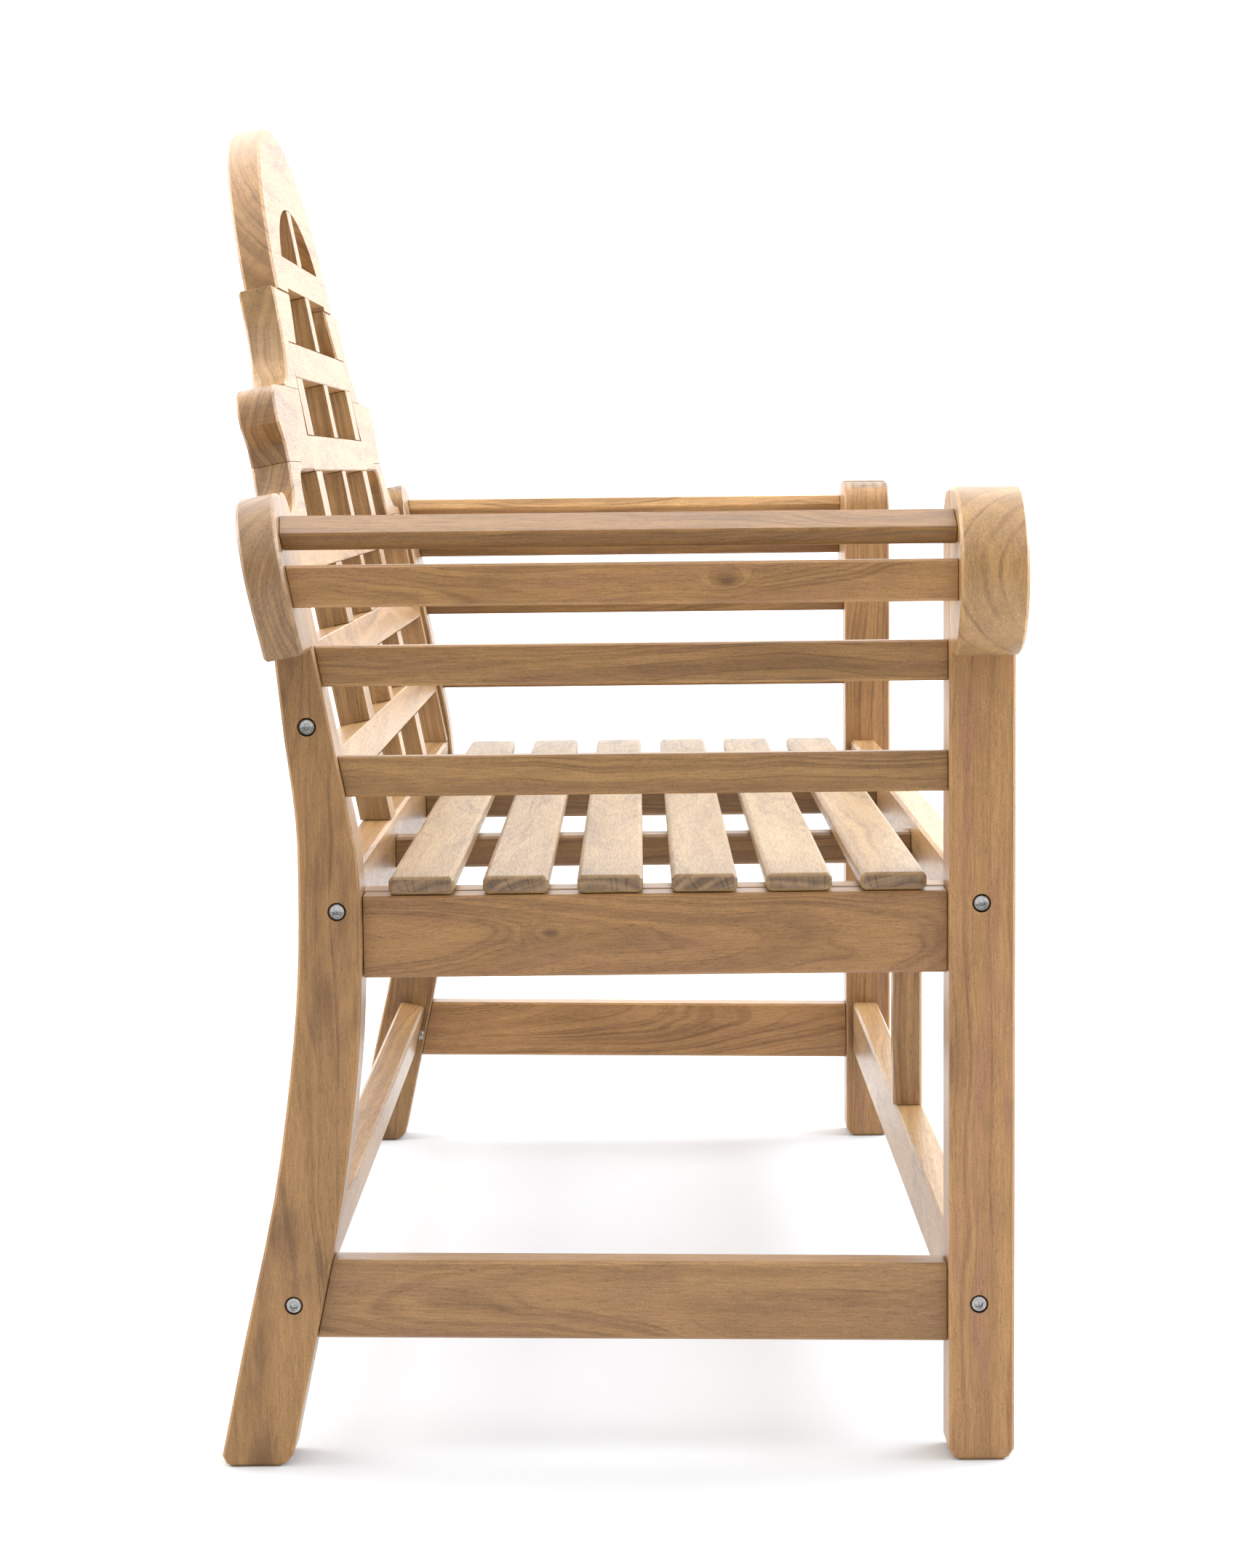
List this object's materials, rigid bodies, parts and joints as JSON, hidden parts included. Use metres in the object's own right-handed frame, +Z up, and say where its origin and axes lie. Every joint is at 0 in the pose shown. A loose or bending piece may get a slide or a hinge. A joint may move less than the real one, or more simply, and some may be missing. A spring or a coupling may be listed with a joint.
{
  "type": "garden bench",
  "caption": "Garden bench of solid wood with a slatted seat, a raked lattice back under a domed crest board, slatted arms ending in round scrolls, and splayed rear legs.",
  "frame": {"origin": "centre of the bounding box's footprint, on the ground that the four feet stand on", "axes": "+Z up, +X along the bench, the sitter faces -Y; left pieces are on the -X end"},
  "size_m": [1.32, 0.6338, 1.0547],
  "materials": {
    "frame_wood": "oiled hardwood, planed, satin, with streaky brown figure",
    "pale_wood": "oiled hardwood, planed, satin, paler straight grain",
    "steel": "zinc-plated socket screw"
  },
  "bodies": {
    "root": {"arm_slat_lower_left": "pale_wood", "arm_slat_lower_right": "pale_wood", "arm_slat_roll_side_left": "pale_wood", "arm_slat_roll_side_right": "pale_wood", "arm_slat_roll_top_left": "pale_wood", "arm_slat_roll_top_right": "pale_wood", "arm_slat_upper_left": "pale_wood", "arm_slat_upper_right": "pale_wood", "back_stile_left": "pale_wood", "back_stile_right": "pale_wood", "bolt_back_left": "steel", "bolt_back_right": "steel", "bolt_front_seat_left": "steel", "bolt_front_seat_right": "steel", "bolt_front_stretcher_left": "steel", "bolt_front_stretcher_right": "steel", "bolt_rear_seat_left": "steel", "bolt_rear_seat_right": "steel", "bolt_rear_stretcher_left": "steel", "bolt_rear_stretcher_right": "steel", "crest_board": "pale_wood", "ear_left": "pale_wood", "ear_right": "pale_wood", "front_leg_left": "frame_wood", "front_leg_right": "frame_wood", "front_scroll_left": "pale_wood", "front_scroll_right": "pale_wood", "front_seat_rail": "frame_wood", "front_stretcher": "frame_wood", "front_strut": "frame_wood", "lattice_centre_slat": "pale_wood", "lattice_post_left": "pale_wood", "lattice_post_right": "pale_wood", "lattice_rail_2": "pale_wood", "lattice_rail_3": "pale_wood", "lattice_rail_4": "pale_wood", "lattice_rail_5": "pale_wood", "lattice_rail_6": "pale_wood", "lower_ear_left": "pale_wood", "lower_ear_right": "pale_wood", "rear_leg_left": "frame_wood", "rear_leg_right": "frame_wood", "rear_scroll_left": "pale_wood", "rear_scroll_right": "pale_wood", "rear_seat_rail": "frame_wood", "rear_stretcher": "frame_wood", "seat_bearer_left": "frame_wood", "seat_bearer_right": "frame_wood", "seat_slat_1": "pale_wood", "seat_slat_2": "pale_wood", "seat_slat_3": "pale_wood", "seat_slat_4": "pale_wood", "seat_slat_5": "pale_wood", "seat_slat_6": "pale_wood", "shoulder_left": "pale_wood", "shoulder_right": "pale_wood", "side_seat_rail_left": "frame_wood", "side_seat_rail_right": "frame_wood", "side_stretcher_left": "frame_wood", "side_stretcher_right": "frame_wood"}
  },
  "joints": []
}
